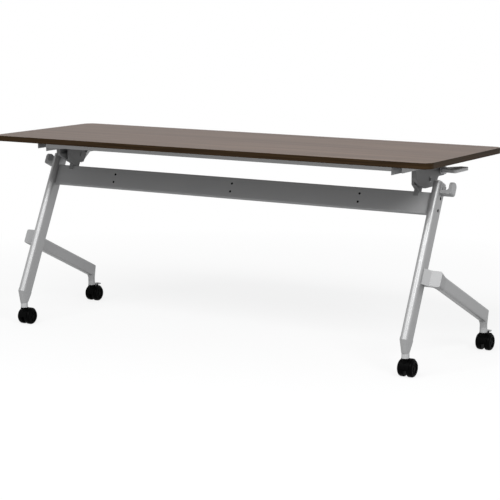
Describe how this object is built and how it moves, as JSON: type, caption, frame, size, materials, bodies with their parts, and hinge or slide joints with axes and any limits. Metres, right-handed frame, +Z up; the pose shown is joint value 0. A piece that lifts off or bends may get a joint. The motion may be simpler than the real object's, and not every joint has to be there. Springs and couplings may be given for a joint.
{
  "type": "flip-top folding conference table",
  "caption": "Long rectangular flip-top table: rounded dark wood-grain top that tilts upright on leaning silver Y-shaped end frames joined by a beam, on twin-wheel casters.",
  "frame": {"origin": "on the floor under the middle of the tabletop", "axes": "+X along the table's length towards the release lever's end, -Y towards the front (the side the posts' feet stand on), +Z up"},
  "size_m": [1.8, 0.6, 0.72],
  "materials": {
    "laminate": "satin dark walnut print, grain along the length",
    "board": "plain particle board",
    "edge_band": "satin dark brown strip",
    "silver_paint": "fine silver powder coat",
    "cast_silver": "cast, silver coated",
    "steel": "zinc plated",
    "gray_plastic": "fine-grained moulding",
    "bush_plastic": "natural bearing plastic",
    "black_plastic": "fine-grained moulding",
    "wheel_plastic": "smooth tread",
    "axle_steel": "plain",
    "pedal_plastic": "fine-grained moulding"
  },
  "bodies": {
    "base": {"post_left": "silver_paint", "post_right": "silver_paint", "post_cap_left": "gray_plastic", "post_cap_right": "gray_plastic", "front_foot_left": "silver_paint", "front_foot_right": "silver_paint", "strut_elbow_left": "cast_silver", "strut_elbow_right": "cast_silver", "strut_left": "silver_paint", "strut_right": "silver_paint", "rear_foot_left": "silver_paint", "rear_foot_right": "silver_paint", "crossbeam": "silver_paint", "beam_plug_left": "gray_plastic", "beam_plug_right": "gray_plastic", "beam_bolts": "steel", "hinge_bracket_left": "cast_silver", "hinge_bracket_right": "cast_silver", "hinge_pin_left": "steel", "hinge_pin_right": "steel", "pin_clips": "steel", "bag_hook_left": "gray_plastic", "bag_hook_right": "gray_plastic", "caster_collars": "pedal_plastic"},
    "tabletop": {"tabletop_core": "board", "top_laminate": "laminate", "edge_band": "edge_band", "front_rail": "silver_paint", "rear_rail": "silver_paint", "support_channel_left": "silver_paint", "support_channel_right": "silver_paint", "hinge_arm_left": "cast_silver", "hinge_arm_right": "cast_silver", "hinge_bush_left": "bush_plastic", "hinge_bush_right": "bush_plastic", "top_screws": "steel", "return_spring": "steel"},
    "release": {"release_shaft": "steel", "release_lever": "gray_plastic", "latch_pawl_left": "steel", "latch_pawl_right": "steel"},
    "caster_front_left": {"caster_hood_front_left": "black_plastic", "caster_axle_front_left": "axle_steel"},
    "wheel_front_left_left": {"caster_wheel_front_left_left": "wheel_plastic"},
    "wheel_front_left_right": {"caster_wheel_front_left_right": "wheel_plastic"},
    "caster_front_right": {"caster_hood_front_right": "black_plastic", "caster_axle_front_right": "axle_steel"},
    "wheel_front_right_left": {"caster_wheel_front_right_left": "wheel_plastic"},
    "wheel_front_right_right": {"caster_wheel_front_right_right": "wheel_plastic"},
    "caster_rear_left": {"caster_hood_rear_left": "black_plastic", "caster_axle_rear_left": "axle_steel"},
    "wheel_rear_left_left": {"caster_wheel_rear_left_left": "wheel_plastic"},
    "wheel_rear_left_right": {"caster_wheel_rear_left_right": "wheel_plastic"},
    "pedal_rear_left": {"brake_pedal_rear_left": "pedal_plastic"},
    "caster_rear_right": {"caster_hood_rear_right": "black_plastic", "caster_axle_rear_right": "axle_steel"},
    "wheel_rear_right_left": {"caster_wheel_rear_right_left": "wheel_plastic"},
    "wheel_rear_right_right": {"caster_wheel_rear_right_right": "wheel_plastic"},
    "pedal_rear_right": {"brake_pedal_rear_right": "pedal_plastic"}
  },
  "joints": [
    {"name": "top_flip", "type": "hinge", "parent": "base", "child": "tabletop", "pos_m": [0, 0.01496, 0.628], "axis": [-1, 0, 0], "range_deg": [0, 90]},
    {"name": "lever_release", "type": "hinge", "parent": "tabletop", "child": "release", "pos_m": [0, 0.09496, 0.652], "axis": [1, 0, 0], "range_deg": [-4, 15], "stiffness_Nm_per_rad": 8, "deforming": ["return_spring"]},
    {"name": "swivel_front_left", "type": "hinge", "parent": "base", "child": "caster_front_left", "pos_m": [-0.803, -0.251, 0.0667], "axis": [0, 0, 1], "continuous": true},
    {"name": "roll_front_left_left", "type": "hinge", "parent": "caster_front_left", "child": "wheel_front_left_left", "pos_m": [-0.803, -0.234, 0.03], "axis": [1, 0, 0], "continuous": true},
    {"name": "roll_front_left_right", "type": "hinge", "parent": "caster_front_left", "child": "wheel_front_left_right", "pos_m": [-0.803, -0.234, 0.03], "axis": [1, 0, 0], "continuous": true},
    {"name": "swivel_front_right", "type": "hinge", "parent": "base", "child": "caster_front_right", "pos_m": [0.803, -0.251, 0.0667], "axis": [0, 0, 1], "continuous": true},
    {"name": "roll_front_right_left", "type": "hinge", "parent": "caster_front_right", "child": "wheel_front_right_left", "pos_m": [0.803, -0.234, 0.03], "axis": [1, 0, 0], "continuous": true},
    {"name": "roll_front_right_right", "type": "hinge", "parent": "caster_front_right", "child": "wheel_front_right_right", "pos_m": [0.803, -0.234, 0.03], "axis": [1, 0, 0], "continuous": true},
    {"name": "swivel_rear_left", "type": "hinge", "parent": "base", "child": "caster_rear_left", "pos_m": [-0.862, 0.25, 0.0667], "axis": [0, 0, 1], "continuous": true},
    {"name": "roll_rear_left_left", "type": "hinge", "parent": "caster_rear_left", "child": "wheel_rear_left_left", "pos_m": [-0.862, 0.267, 0.03], "axis": [1, 0, 0], "continuous": true},
    {"name": "roll_rear_left_right", "type": "hinge", "parent": "caster_rear_left", "child": "wheel_rear_left_right", "pos_m": [-0.862, 0.267, 0.03], "axis": [1, 0, 0], "continuous": true},
    {"name": "brake_rear_left", "type": "hinge", "parent": "caster_rear_left", "child": "pedal_rear_left", "pos_m": [-0.862, 0.278, 0.0647], "axis": [-1, 0, 0], "range_deg": [0, 15]},
    {"name": "swivel_rear_right", "type": "hinge", "parent": "base", "child": "caster_rear_right", "pos_m": [0.862, 0.25, 0.0667], "axis": [0, 0, 1], "continuous": true},
    {"name": "roll_rear_right_left", "type": "hinge", "parent": "caster_rear_right", "child": "wheel_rear_right_left", "pos_m": [0.862, 0.267, 0.03], "axis": [1, 0, 0], "continuous": true},
    {"name": "roll_rear_right_right", "type": "hinge", "parent": "caster_rear_right", "child": "wheel_rear_right_right", "pos_m": [0.862, 0.267, 0.03], "axis": [1, 0, 0], "continuous": true},
    {"name": "brake_rear_right", "type": "hinge", "parent": "caster_rear_right", "child": "pedal_rear_right", "pos_m": [0.862, 0.278, 0.0647], "axis": [-1, 0, 0], "range_deg": [0, 15]}
  ]
}
